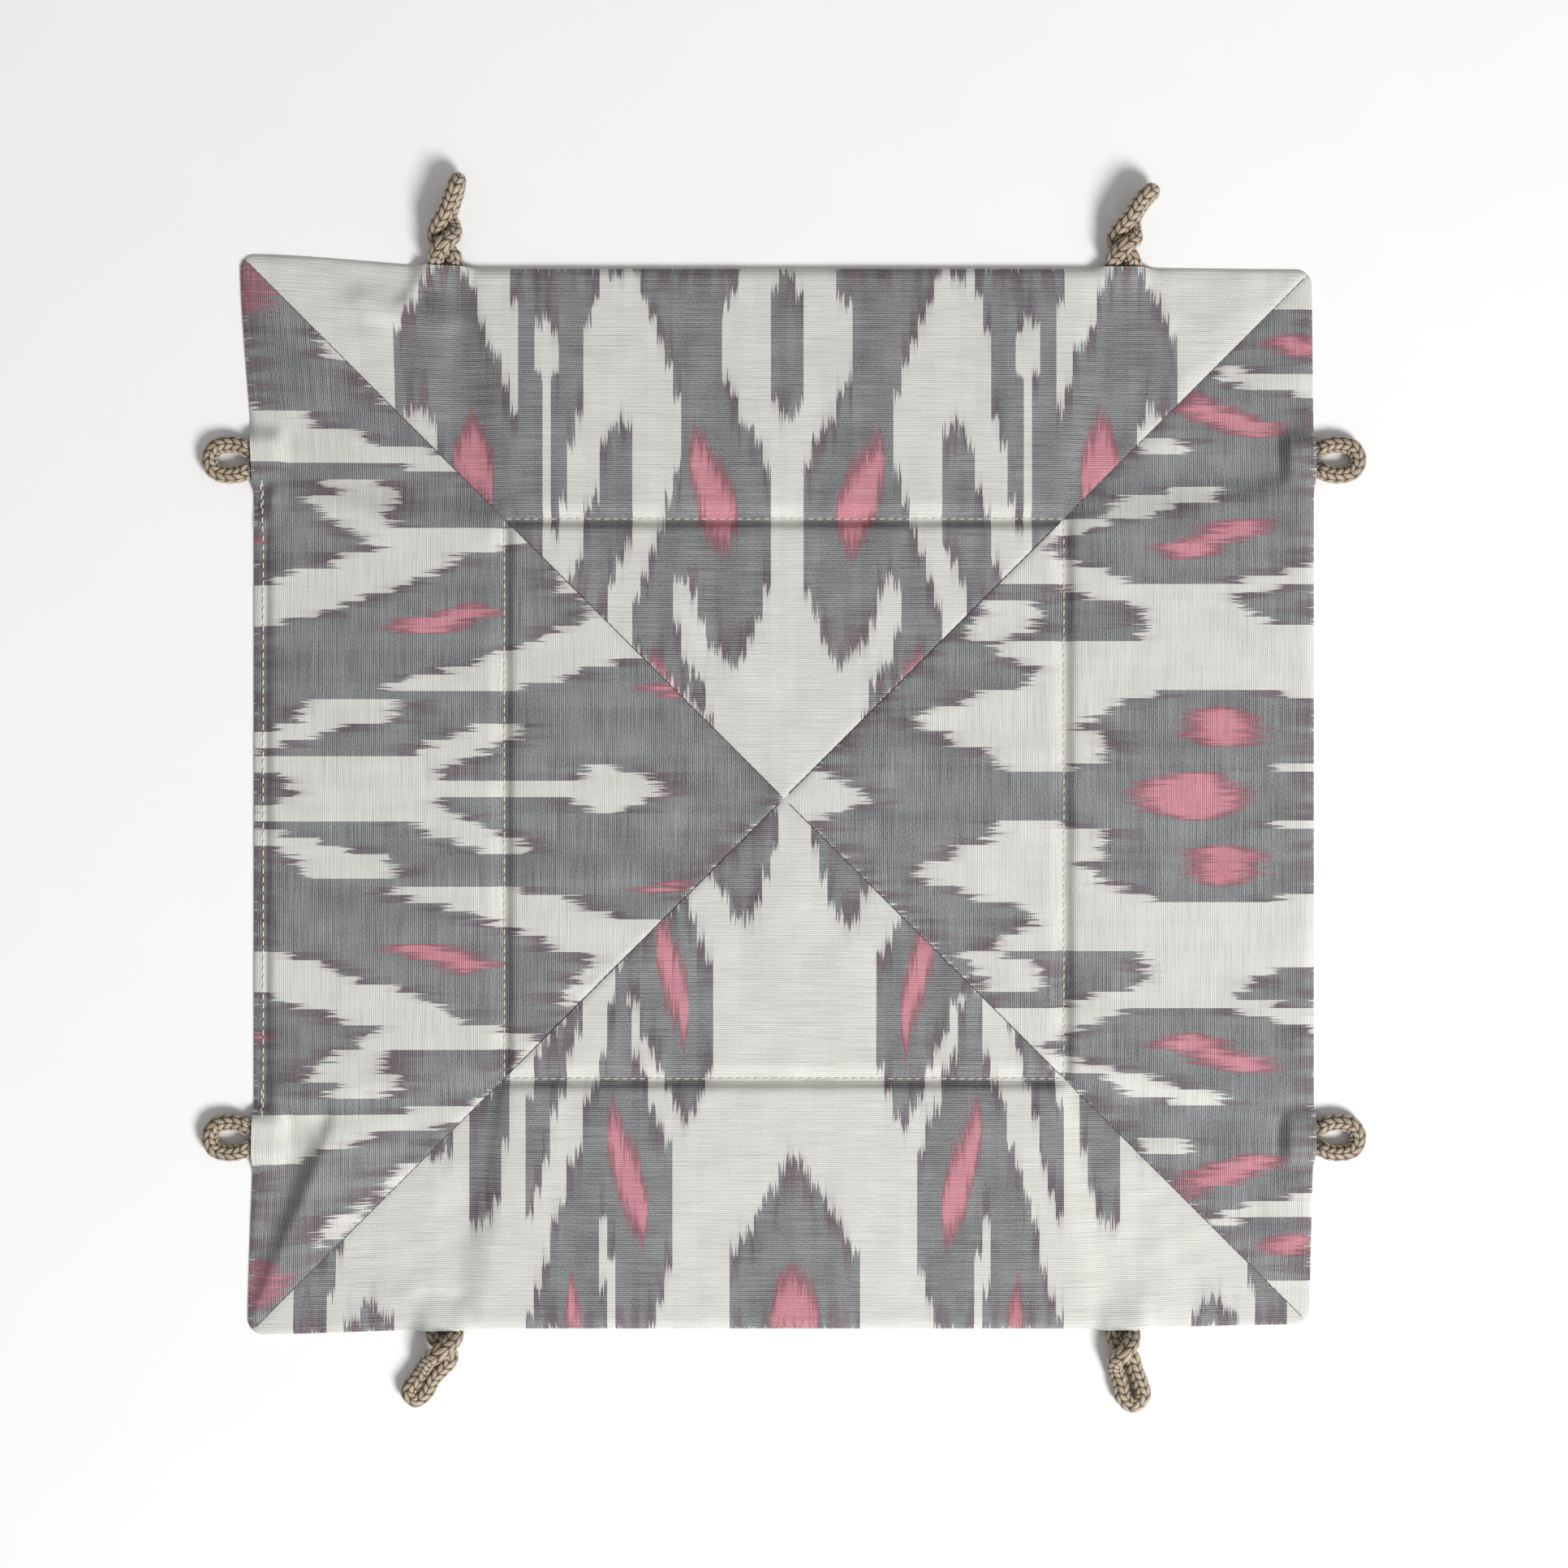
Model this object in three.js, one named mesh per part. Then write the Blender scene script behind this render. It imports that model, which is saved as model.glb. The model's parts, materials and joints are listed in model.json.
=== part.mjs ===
// A fold-up cloth tray lying flat: a stiffened base, four stiffened sides that fold up from it, and
// eight soft corner flaps that are pinched outwards when the sides stand. The face is sewn from four
// triangular cuts of ikat cloth that meet at the middle. Each corner has a knotted cord and a cord loop.
// Millimetres, +Z up. The origin is under the middle of the base, and +Y is the north side.
import * as THREE from 'three';

// Overall sizes
const baseLength = 172; // fold line to fold line, along X
const baseWidth = 172; // fold line to fold line, along Y
const sideDepth = 77; // fold line to rim
const creaseSplay = 12; // how far each side widens, at either end, from its fold line to the rim
const cornerRadius = 4.5;

// Cloth and board
const clothThickness = 0.5;
const boardThickness = 2;
const layerGap = 0.3; // between two layers that lie on each other

// Pressed flat margins and the slopes up to the boards
const foldGap = 0.5; // cloth edge to a fold line
const creaseGap = 0.7; // cloth edge to a crease, more because the corners fold towards the lining
const foldMargin = 1; // flat cloth beside a fold line or a crease
const rimMargin = 4.5; // flat cloth inside the rim
const slopeWidth = 2;
const boardClearance = 0.4; // from the top of the slope to the board's edge

// Threads
const threadWidth = 0.4;
const threadEndGap = 3; // from the end of a row of stitches to the corner it runs to
const seamGap = 0.9; // between two cuts over the base, with the seam's thread in it
const seamThreadWidth = 0.3;
const flapGap = 0.3; // between the two flaps of a corner
const centreTrim = 1.5; // the cuts stop this far from the middle, where the four points meet
const topstitchInset = 3; // from the rim to the row that closes the boards in
const topstitchHeight = 0.3;

// Cords
const cordDiameter = 5;
const cordSides = 10;
const cordGap = 0.3; // from the rim to a cord's cut end
const cordStub = 1.6; // a cord leaves the rim straight as far as this
const cordFromCrease = 6; // from a crease's end at the rim to the middle of the cord

// Heights of the layers
const flangeLow = clothThickness + layerGap;
const flangeHigh = flangeLow + clothThickness;
const boardLow = clothThickness + layerGap;
const boardHigh = boardLow + boardThickness;
const faceLow = boardHigh + layerGap;
const faceHigh = faceLow + clothThickness;

const cloth = (color) => new THREE.MeshStandardMaterial({ color, roughness: 0.9, metalness: 0 });
const materials = {
  ikat: cloth(0xb9bcc2),
  lining: cloth(0xd9d4c8),
  board: new THREE.MeshStandardMaterial({ color: 0x9a948a, roughness: 0.8, metalness: 0 }),
  creamThread: cloth(0xe6dfcf),
  darkThread: cloth(0x5a5862),
  cord: cloth(0x9c8878),
};

// The four sides. Each is modelled with its outward direction along +Y and then turned about Z.
// `half` is half of its fold line, `reach` the distance from the middle to the fold line.
const alongX = { half: baseLength / 2, reach: baseWidth / 2 };
const alongY = { half: baseWidth / 2, reach: baseLength / 2 };
const sides = [
  { name: 'north', turn: 0, right: 'east', left: 'west', ...alongX },
  { name: 'east', turn: -Math.PI / 2, right: 'south', left: 'north', ...alongY },
  { name: 'south', turn: Math.PI, right: 'west', left: 'east', ...alongX },
  { name: 'west', turn: Math.PI / 2, right: 'north', left: 'south', ...alongY },
];

const tray = new THREE.Group();
tray.name = 'fold_up_tray';

function addPiece(group, name, geometry, material) {
  const mesh = new THREE.Mesh(geometry, material);
  mesh.name = name;
  group.add(mesh);
  return mesh;
}

// A geometry from triangles that are given as triples of [x, y, z] points.
function fromTriangles(triangles) {
  const geometry = new THREE.BufferGeometry();
  geometry.setAttribute('position', new THREE.Float32BufferAttribute(triangles.flat(2), 3));
  geometry.computeVertexNormals();
  return geometry;
}

// Moves each edge of a convex anticlockwise outline inwards by its own distance.
function insetOutline(corners, insets) {
  const edges = corners.map((start, i) => {
    const end = corners[(i + 1) % corners.length];
    const length = Math.hypot(end[0] - start[0], end[1] - start[1]);
    const normal = [(start[1] - end[1]) / length, (end[0] - start[0]) / length];
    return { normal, offset: normal[0] * start[0] + normal[1] * start[1] + insets[i] };
  });
  return edges.map((edge, i) => {
    const before = edges[(i + edges.length - 1) % edges.length];
    const det = before.normal[0] * edge.normal[1] - before.normal[1] * edge.normal[0];
    return [
      (before.offset * edge.normal[1] - edge.offset * before.normal[1]) / det,
      (before.normal[0] * edge.offset - edge.normal[0] * before.offset) / det,
    ];
  });
}

function flatPanel(outline, low, high) {
  const shape = new THREE.Shape(outline.map(([x, y]) => new THREE.Vector2(x, y)));
  const geometry = new THREE.ExtrudeGeometry(shape, { depth: high - low, bevelEnabled: false });
  return geometry.translate(0, 0, low);
}

// A sheet that lies flat round its edge and rises over what is under it. The rings run from the
// edge inwards, each an outline with the heights of the sheet's two faces there.
function raisedSheet(rings) {
  const triangles = [];
  const count = rings[0].outline.length;
  const at = (ring, i, face) => [...ring.outline[i % count], ring[face]];
  const addStrip = (outer, outerFace, inner, innerFace) => {
    for (let i = 0; i < count; i += 1) {
      const [a, b] = [at(outer, i, outerFace), at(outer, i + 1, outerFace)];
      const [c, d] = [at(inner, i + 1, innerFace), at(inner, i, innerFace)];
      triangles.push([a, b, c], [a, c, d]);
    }
  };
  for (let k = 1; k < rings.length; k += 1) {
    addStrip(rings[k - 1], 'high', rings[k], 'high');
    addStrip(rings[k], 'low', rings[k - 1], 'low');
  }
  addStrip(rings[0], 'low', rings[0], 'high');
  const inner = rings[rings.length - 1];
  for (let i = 1; i < count - 1; i += 1) {
    triangles.push([at(inner, 0, 'high'), at(inner, i, 'high'), at(inner, i + 1, 'high')]);
    triangles.push([at(inner, 0, 'low'), at(inner, i + 1, 'low'), at(inner, i, 'low')]);
  }
  return fromTriangles(triangles);
}

// A sheet whose section along Y is the same everywhere, and whose ends are cut along the base's
// diagonals. The section is an anticlockwise loop of [y, z] points.
function mitredSheet(section, halfWidthAt) {
  const right = section.map(([y, z]) => [halfWidthAt(y), y, z]);
  const left = section.map(([y, z]) => [-halfWidthAt(y), y, z]);
  const triangles = [];
  section.forEach((_, i) => {
    const next = (i + 1) % section.length;
    triangles.push([right[i], left[i], left[next]], [right[i], left[next], right[next]]);
  });
  const contour = section.map(([y, z]) => new THREE.Vector2(y, z));
  for (const [a, b, c] of THREE.ShapeUtils.triangulateShape(contour, [])) {
    triangles.push([right[a], right[b], right[c]], [left[a], left[c], left[b]]);
  }
  return fromTriangles(triangles);
}

function strip(length, width, low, high) {
  return new THREE.BoxGeometry(length, width, high - low).translate(0, 0, (low + high) / 2);
}

// Base: board, lining, the inner part of each ikat cut, and the threads

const boardInset = foldMargin + slopeWidth + boardClearance;

function rectangle(halfLength, halfWidth) {
  return [
    [-halfLength, -halfWidth],
    [halfLength, -halfWidth],
    [halfLength, halfWidth],
    [-halfLength, halfWidth],
  ];
}

function addBase() {
  const board = rectangle(baseLength / 2 - boardInset, baseWidth / 2 - boardInset);
  addPiece(tray, 'base_board', flatPanel(board, boardLow, boardHigh), materials.board);
  const lining = rectangle(baseLength / 2 - foldGap, baseWidth / 2 - foldGap);
  addPiece(tray, 'base_lining', flatPanel(lining, 0, clothThickness), materials.lining);
}

function addBaseIkat(side, group) {
  const { half, reach } = side;
  const seamOffset = (seamGap / 2) * Math.hypot(half, reach) / reach;
  const edge = reach - foldGap;
  const slopeStart = reach - foldMargin;
  const slopeEnd = slopeStart - slopeWidth;
  const section = [
    [centreTrim, faceLow],
    [slopeEnd, faceLow],
    [slopeStart, flangeLow],
    [edge, flangeLow],
    [edge, flangeHigh],
    [slopeStart, flangeHigh],
    [slopeEnd, faceHigh],
    [centreTrim, faceHigh],
  ];
  const halfWidthAt = (y) => (y * half) / reach - seamOffset;
  addPiece(group, `base_ikat_${side.name}`, mitredSheet(section, halfWidthAt), materials.ikat);
}

function addFoldStitching(side, group) {
  const thread = strip(2 * (side.half - threadEndGap), threadWidth, layerGap / 2, flangeHigh);
  const mesh = addPiece(group, `fold_stitching_${side.name}`, thread, materials.creamThread);
  mesh.position.y = side.reach;
}

// One row of stitches along each diagonal of the base, where two cuts are joined.
function addMitreStitching() {
  const start = 2 * centreTrim;
  const end = Math.hypot(baseLength, baseWidth) / 2 - (boardInset + threadEndGap) * Math.SQRT2;
  for (const [name, signX, signY] of [
    ['north_east', 1, 1],
    ['north_west', -1, 1],
    ['south_west', -1, -1],
    ['south_east', 1, -1],
  ]) {
    const thread = strip(end - start, seamThreadWidth, faceLow, faceHigh).translate((start + end) / 2, 0, 0);
    const mesh = addPiece(tray, `mitre_stitching_${name}`, thread, materials.darkThread);
    mesh.rotation.z = Math.atan2(signY * baseWidth, signX * baseLength);
  }
}

// Sides: board, lining and the middle part of each ikat cut, between the fold line, the rim and
// the two creases

function sideOutline({ half, reach }) {
  const rim = reach + sideDepth;
  const wide = half + creaseSplay;
  return [[-half, reach], [half, reach], [wide, rim], [-wide, rim]];
}

function addSide(side, group) {
  const outline = sideOutline(side);
  const inset = (fold, crease, rim) => insetOutline(outline, [fold, crease, rim, crease]);
  const slopeEnd = foldMargin + slopeWidth;
  const rimSlopeEnd = rimMargin + slopeWidth;
  const board = inset(boardInset, boardInset, rimSlopeEnd + boardClearance);
  addPiece(group, `side_board_${side.name}`, flatPanel(board, boardLow, boardHigh), materials.board);
  const edge = inset(foldGap, creaseGap, 0);
  addPiece(group, `side_lining_${side.name}`, flatPanel(edge, 0, clothThickness), materials.lining);
  const sheet = raisedSheet([
    { outline: edge, low: flangeLow, high: flangeHigh },
    { outline: inset(foldMargin, foldMargin, rimMargin), low: flangeLow, high: flangeHigh },
    { outline: inset(slopeEnd, slopeEnd, rimSlopeEnd), low: faceLow, high: faceHigh },
  ]);
  addPiece(group, `side_ikat_${side.name}`, sheet, materials.ikat);
}

// The row of stitches that closes the opening through which the boards are put in.
function addTopstitching(side, group) {
  const low = flangeHigh + layerGap;
  const length = 2 * (side.half + creaseSplay - threadEndGap);
  const thread = strip(length, threadWidth, low, low + topstitchHeight);
  const mesh = addPiece(group, `edge_topstitching_${side.name}`, thread, materials.creamThread);
  mesh.position.y = side.reach + sideDepth - topstitchInset;
}

// Corner flaps: the ikat and the lining between a crease, the rim and the corner's diagonal. The
// outline is for the right-hand end of a side, and `hand` is -1 for its mirror image.
function flapOutline({ half, reach }, hand) {
  const rim = reach + sideDepth;
  const corner = half + sideDepth;
  const creaseLength = Math.hypot(creaseSplay, sideDepth);
  const alongRim = (creaseGap * creaseLength) / sideDepth;
  const creaseSlope = creaseSplay / sideDepth;
  // The crease's and the diagonal's offset lines meet just inside the corner of the base.
  const diagonalOffset = flapGap / Math.SQRT2;
  const innerRise = (alongRim + diagonalOffset) / (1 - creaseSlope);
  const inner = [half + creaseSlope * innerRise + alongRim, reach + innerRise];
  const turn = Math.asin(flapGap / 2 / cornerRadius);
  const arc = [];
  const steps = 5;
  for (let k = 0; k <= steps; k += 1) {
    const angle = Math.PI / 4 + turn + (k / steps) * (Math.PI / 4 - turn);
    const x = corner - cornerRadius + cornerRadius * Math.cos(angle);
    arc.push([x, rim - cornerRadius + cornerRadius * Math.sin(angle)]);
  }
  const outline = [inner, ...arc, [half + creaseSplay + alongRim, rim]];
  return hand > 0 ? outline : outline.map(([x, y]) => [-x, y]).reverse();
}

function addFlap(side, group, hand) {
  const name = `${side.name}_${hand > 0 ? side.right : side.left}`;
  const outline = flapOutline(side, hand);
  addPiece(group, `corner_ikat_${name}`, flatPanel(outline, flangeLow, flangeHigh), materials.ikat);
  addPiece(group, `corner_lining_${name}`, flatPanel(outline, 0, clothThickness), materials.lining);
}

// Cords, each a bight of braided cord sewn into the rim by its two ends. Their points are [across,
// out, height]: across from the cord's own centre to the right as seen from the middle of the
// tray, out from the rim.

// A short open loop that lies flat.
const loopRoute = [
  [-3.2, cordGap, 2.5],
  [-4.2, 3.5, 2.5],
  [-4.7, 7.5, 2.5],
  [-3.6, 11.5, 2.5],
  [0, 13.2, 2.5],
  [3.6, 11.5, 2.5],
  [4.7, 7.5, 2.5],
  [4.2, 3.5, 2.5],
  [3.2, cordGap, 2.5],
];

// The four knotted cords: the two legs wrap round each other at the rim and go on as a narrow
// bight. On the north side it stands on edge, on the south side it lies flat.
const knotRoutes = {
  north_west: [
    [-2.8, cordGap, 2.5],
    [-2.5, 3.2, 5],
    [0, 6.2, 8.2],
    [2.9, 9.2, 5.9],
    [2.4, 12.2, 3],
    [1.2, 15.5, 2.5],
    [2.2, 19.5, 2.5],
    [3.4, 23.2, 2.8],
    [4.2, 26.1, 5.3],
    [3.3, 23.2, 8.1],
    [2, 19.5, 8.3],
    [0.4, 15.5, 8.3],
    [-2, 12.2, 6.6],
    [-2.8, 9.2, 4],
    [0, 6.2, 2.5],
    [2.6, 3.2, 2.5],
    [3, cordGap, 2.5],
  ],
  north_east: [
    [-3, cordGap, 2.5],
    [-2.6, 3, 5],
    [0, 5.6, 8.1],
    [3, 8.2, 5.9],
    [3.2, 11.2, 3],
    [3, 14.5, 2.5],
    [4.6, 18, 2.5],
    [6.8, 21, 2.8],
    [8.6, 22.8, 5.3],
    [6.6, 21.4, 8.1],
    [4, 18.2, 8.3],
    [1.8, 14.6, 8.3],
    [-1.3, 11.2, 6.6],
    [-2.7, 8.2, 4],
    [0, 5.6, 2.5],
    [2.7, 3, 2.5],
    [3.2, cordGap, 2.5],
  ],
  south_west: [
    [-3.2, cordGap, 2.5],
    [-2.4, 3.2, 5.2],
    [0.9, 6, 7.9],
    [4.6, 8.6, 5],
    [6.6, 11.8, 2.6],
    [9, 15.4, 2.5],
    [11.1, 18.8, 2.5],
    [9, 21.2, 2.5],
    [6, 19, 2.5],
    [3.8, 15, 2.5],
    [0.9, 11.8, 2.5],
    [-1.5, 9, 2.5],
    [-0.4, 5.4, 2.5],
    [2.6, 3, 2.5],
    [3.6, cordGap, 2.5],
  ],
  south_east: [
    [-2.9, cordGap, 2.5],
    [-2.4, 3.2, 5.2],
    [0, 6, 7.9],
    [2.5, 8.8, 5],
    [2.3, 12, 2.6],
    [0.9, 16.2, 2.5],
    [0, 20.2, 2.5],
    [-3, 22.9, 2.5],
    [-6, 20.2, 2.5],
    [-5.2, 16.2, 2.5],
    [-3.6, 12, 2.5],
    [-2.7, 8.8, 2.5],
    [0, 6, 2.5],
    [2.4, 3.2, 2.5],
    [2.9, cordGap, 2.5],
  ],
};

const cordStepsPerPoint = 3;

function cordTube(route) {
  const [first, last] = [route[0], route[route.length - 1]];
  const stubs = [first, last].map(([across, , height]) => [across, cordStub, height]);
  const stubbed = [first, stubs[0], ...route.slice(1, -1), stubs[1], last];
  const curve = new THREE.CatmullRomCurve3(stubbed.map((point) => new THREE.Vector3(...point)));
  const section = new THREE.Shape();
  for (let i = 0; i < cordSides; i += 1) {
    const angle = (i / cordSides) * 2 * Math.PI;
    const [x, y] = [Math.cos(angle), Math.sin(angle)].map((value) => (value * cordDiameter) / 2);
    if (i === 0) section.moveTo(x, y);
    else section.lineTo(x, y);
  }
  const steps = (stubbed.length - 1) * cordStepsPerPoint;
  return new THREE.ExtrudeGeometry(section, { steps, extrudePath: curve, bevelEnabled: false });
}

function addCord(side, group, hand) {
  const end = hand > 0 ? side.right : side.left;
  const knotted = side.name === 'north' || side.name === 'south';
  const route = knotted ? knotRoutes[`${side.name}_${end}`] : loopRoute;
  const name = `${knotted ? 'knot' : 'loop'}_cord_${side.name}_${end}`;
  const mesh = addPiece(group, name, cordTube(route), materials.cord);
  const across = side.half + creaseSplay + cordFromCrease;
  mesh.position.set(hand * across, side.reach + sideDepth, 0);
}

addBase();
addMitreStitching();
for (const side of sides) {
  const group = new THREE.Group();
  group.rotation.z = side.turn;
  addBaseIkat(side, group);
  addFoldStitching(side, group);
  addSide(side, group);
  if (side.name === 'west') addTopstitching(side, group);
  for (const hand of [1, -1]) {
    addFlap(side, group, hand);
    addCord(side, group, hand);
  }
  tray.add(group);
}

export default tray;
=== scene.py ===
import json
import math

import bpy
import numpy as np
from mathutils import Matrix, Vector


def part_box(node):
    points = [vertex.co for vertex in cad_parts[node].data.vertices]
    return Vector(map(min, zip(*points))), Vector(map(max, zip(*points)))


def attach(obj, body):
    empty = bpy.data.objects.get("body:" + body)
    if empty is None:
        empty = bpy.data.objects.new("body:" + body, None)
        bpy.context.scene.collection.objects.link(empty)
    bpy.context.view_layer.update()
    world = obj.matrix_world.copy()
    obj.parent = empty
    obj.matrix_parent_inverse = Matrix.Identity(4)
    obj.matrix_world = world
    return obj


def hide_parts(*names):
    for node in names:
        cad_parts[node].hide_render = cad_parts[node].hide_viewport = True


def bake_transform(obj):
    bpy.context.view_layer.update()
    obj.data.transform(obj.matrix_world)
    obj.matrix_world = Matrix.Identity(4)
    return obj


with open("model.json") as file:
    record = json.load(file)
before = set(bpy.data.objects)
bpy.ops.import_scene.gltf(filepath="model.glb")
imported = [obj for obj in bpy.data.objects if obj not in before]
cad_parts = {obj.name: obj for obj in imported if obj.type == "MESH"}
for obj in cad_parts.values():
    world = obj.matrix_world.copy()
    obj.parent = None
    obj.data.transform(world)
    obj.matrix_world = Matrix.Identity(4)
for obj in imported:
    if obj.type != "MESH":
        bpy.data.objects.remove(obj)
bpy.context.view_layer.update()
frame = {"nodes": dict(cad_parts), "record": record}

mm = 0.001
joints = {joint["name"]: joint for joint in frame["record"]["behaviour"]["joints"]}
foldLine = joints["north_fold"]["pos_m"]
creaseAxis = joints["north_east_corner_crease"]["axis"]

# The tray in millimetres, read from the frame. Every side is made facing north, as
# (across, out, up), and then turned to its place.
half = foldLine[1] / mm  # middle to fold line
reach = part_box("side_ikat_north")[1][1] / mm  # middle to rim
hinge = foldLine[2] / mm  # height of the fold
splay = (reach - half) * creaseAxis[0] / creaseAxis[1]
cordPlace = half + splay + 6  # from the middle of the rim
turns = {"north": 0, "east": -90, "south": 180, "west": 90}
rightEnds = {"north": "east", "east": "south", "south": "west", "west": "north"}
leftEnds = {end: side for side, end in rightEnds.items()}


def endOf(side, hand):
    return rightEnds[side] if hand > 0 else leftEnds[side]


def spun(side, across, out):
    angle = math.radians(turns[side])
    east = across * math.cos(angle) - out * math.sin(angle)
    return east, across * math.sin(angle) + out * math.cos(angle)


def turned(side, point):
    return Vector((*spun(side, point[0], point[1]), point[2])) * mm


def smooth(t):
    t = np.clip(t, 0, 1)
    return t * t * (3 - 2 * t)


def only(obj):
    bpy.ops.object.select_all(action="DESELECT")
    obj.select_set(True)
    bpy.context.view_layer.objects.active = obj


# Camera, straight above. Lengths in metres, but the sensor's in millimetres.
view = {
    "height": 0.9,
    "field": 0.4826,  # width that the frame shows at the cloth
    "north": 0.0045,  # the tray lies a little low in the frame
    "sensor": 36,
}
bpy.ops.object.camera_add(location=(0, view["north"], view["height"]), rotation=(0, 0, 0))
camera = bpy.context.object
camera.data.sensor_width = view["sensor"]
camera.data.lens = view["sensor"] * view["height"] / view["field"]
bpy.context.scene.camera = camera
print("camera stands")

# Cords, in millimetres. Routes are (across, out from the rim, up), and start and end in the rim.
# A point with no height lies on the table.
cord = {
    "diameter": 5,
    "stub": 1.6,  # straight out of the rim before the first bend
    "tail": 3.6,  # hidden inside the rim
    "ringStep": 0.3,
    "around": 48,  # points in a ring
    "wales": 4,  # columns of stitches round the cord
    "stitchLength": 2.5,
    "lean": 0.62,  # how far a stitch leans along the cord, in stitch lengths
    "relief": 0.55,  # depth of the gaps between stitches
    "level": 0.7,  # share of the relief that lies on the diameter
    "rounding": 0.6,  # how far a stitch sinks at its sides
    "pressed": 0.4,  # share of its height lost between the cloths
    "pressFrom": 2.5,
    "pressOver": 3.5,
    "foot": 0.6,  # the lining's top
    "fibreDark": (0.33, 0.245, 0.165),
    "fibreLight": (0.66, 0.55, 0.42),
    "patch": (0.27, 0.2, 0.135),
    # painted shade, for the hollows between stitches
    "paintedGapShade": (0.05, 0.033, 0.022),
    "surface": {"Roughness": 0.62, "Sheen Weight": 0.25, "Specular IOR Level": 0.4},
}
loopRoute = [
    (-3.2, 0.3), (-4.2, 3.5), (-4.7, 7.5), (-3.6, 11.5), (0, 13.2), (3.6, 11.5), (4.7, 7.5), (4.2, 3.5),
    (3.2, 0.3),
]
knotRoutes = {
    ("north", "west"): [
        (-2.8, 0.3), (-2.5, 3.2, 5), (0, 6.2, 8.2), (2.9, 9.2, 5.9), (2.4, 12.2, 3), (1.2, 15.5),
        (2.2, 19.5), (3.4, 23.2, 2.8), (4.2, 26.1, 5.3), (3.3, 23.2, 8.1), (2, 19.5, 8.3), (0.4, 15.5, 8.3),
        (-2, 12.2, 6.6), (-2.8, 9.2, 4), (0, 6.2), (2.6, 3.2), (3, 0.3),
    ],
    ("north", "east"): [
        (-3, 0.3), (-2.6, 3, 5), (0, 5.6, 8.1), (3, 8.2, 5.9), (3.2, 11.2, 3), (3, 14.5), (4.6, 18),
        (6.8, 21, 2.8), (8.6, 22.8, 5.3), (6.6, 21.4, 8.1), (4, 18.2, 8.3), (1.8, 14.6, 8.3),
        (-1.3, 11.2, 6.6), (-2.7, 8.2, 4), (0, 5.6), (2.7, 3), (3.2, 0.3),
    ],
    ("south", "west"): [
        (-3.2, 0.3), (-2.4, 3.2, 5.2), (0.9, 6, 7.9), (4.6, 8.6, 5), (6.6, 11.8, 2.6), (9, 15.4),
        (11.1, 18.8), (9, 21.2), (6, 19), (3.8, 15), (0.9, 11.8), (-1.5, 9), (-0.4, 5.4), (2.6, 3),
        (3.6, 0.3),
    ],
    ("south", "east"): [
        (-2.9, 0.3), (-2.4, 3.2, 5.2), (0, 6, 7.9), (2.5, 8.8, 5), (2.3, 12, 2.6), (0.9, 16.2), (0, 20.2),
        (-3, 22.9), (-6, 20.2), (-5.2, 16.2), (-3.6, 12), (-2.7, 8.8), (0, 6), (2.4, 3.2), (2.9, 0.3),
    ],
}


# Short ways to add nodes
def newMaterial(name, surface):
    material = bpy.data.materials.new(name)
    material.use_nodes = True
    shader = material.node_tree.nodes["Principled BSDF"]
    for socket, value in surface.items():
        shader.inputs[socket].default_value = value
    return material, material.node_tree, shader


def feed(tree, socket, value):
    if isinstance(value, bpy.types.NodeSocket):
        tree.links.new(value, socket)
    else:
        socket.default_value = value


def calc(tree, operation, *values):
    node = tree.nodes.new("ShaderNodeMath")
    node.operation = operation
    for socket, value in zip(node.inputs, values):
        feed(tree, socket, value)
    return node.outputs[0]


def paint(tree, shader, colour):
    feed(tree, shader.inputs["Base Color"], colour)


def weighed(tree, *terms):
    # The sum of each value times its share
    total = None
    for value, share in terms:
        term = calc(tree, "MULTIPLY", value, share)
        total = term if total is None else calc(tree, "ADD", total, term)
    return total


def ramp(tree, value, low, high, start=0.0, end=1.0):
    # low..high becomes start..end, eased and clamped
    node = tree.nodes.new("ShaderNodeMapRange")
    node.interpolation_type = "SMOOTHSTEP"
    for socket, entry in zip(node.inputs, (value, low, high, start, end)):
        feed(tree, socket, entry)
    return node.outputs[0]


def mixed(tree, factor, first, second, blendType="MIX"):
    node = tree.nodes.new("ShaderNodeMix")
    node.data_type = "RGBA"
    node.blend_type = blendType
    feed(tree, node.inputs["Factor"], factor)
    for socket, colour in zip((node.inputs[6], node.inputs[7]), (first, second)):
        feed(tree, socket, (*colour, 1) if isinstance(colour, tuple) else colour)
    return node.outputs[2]


def grey(tree, value):
    node = tree.nodes.new("ShaderNodeCombineColor")
    for socket in node.inputs:
        feed(tree, socket, value)
    return node.outputs[0]


def grain(tree, x, y, stretchX, stretchY, seed=0.0, detail=0.0):
    # Noise with cells of 1/stretchX by 1/stretchY
    node = tree.nodes.new("ShaderNodeCombineXYZ")
    feed(tree, node.inputs[0], calc(tree, "MULTIPLY", x, stretchX))
    feed(tree, node.inputs[1], calc(tree, "MULTIPLY", y, stretchY))
    feed(tree, node.inputs[2], seed)
    noiseNode = tree.nodes.new("ShaderNodeTexNoise")
    noiseNode.inputs["Scale"].default_value = 1
    noiseNode.inputs["Detail"].default_value = detail
    feed(tree, noiseNode.inputs["Vector"], node.outputs[0])
    return noiseNode.outputs["Fac"]


def planeOf(tree, place):
    split = tree.nodes.new("ShaderNodeSeparateXYZ")
    feed(tree, split.inputs[0], place)
    return split.outputs[0], split.outputs[1]


def axes(tree, uvName):
    node = tree.nodes.new("ShaderNodeUVMap")
    node.uv_map = uvName
    return planeOf(tree, node.outputs[0])


def objectAxes(tree):
    return planeOf(tree, tree.nodes.new("ShaderNodeTexCoord").outputs["Object"])


def reading(tree, name):
    node = tree.nodes.new("ShaderNodeAttribute")
    node.attribute_name = name
    return node.outputs["Fac"]


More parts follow.
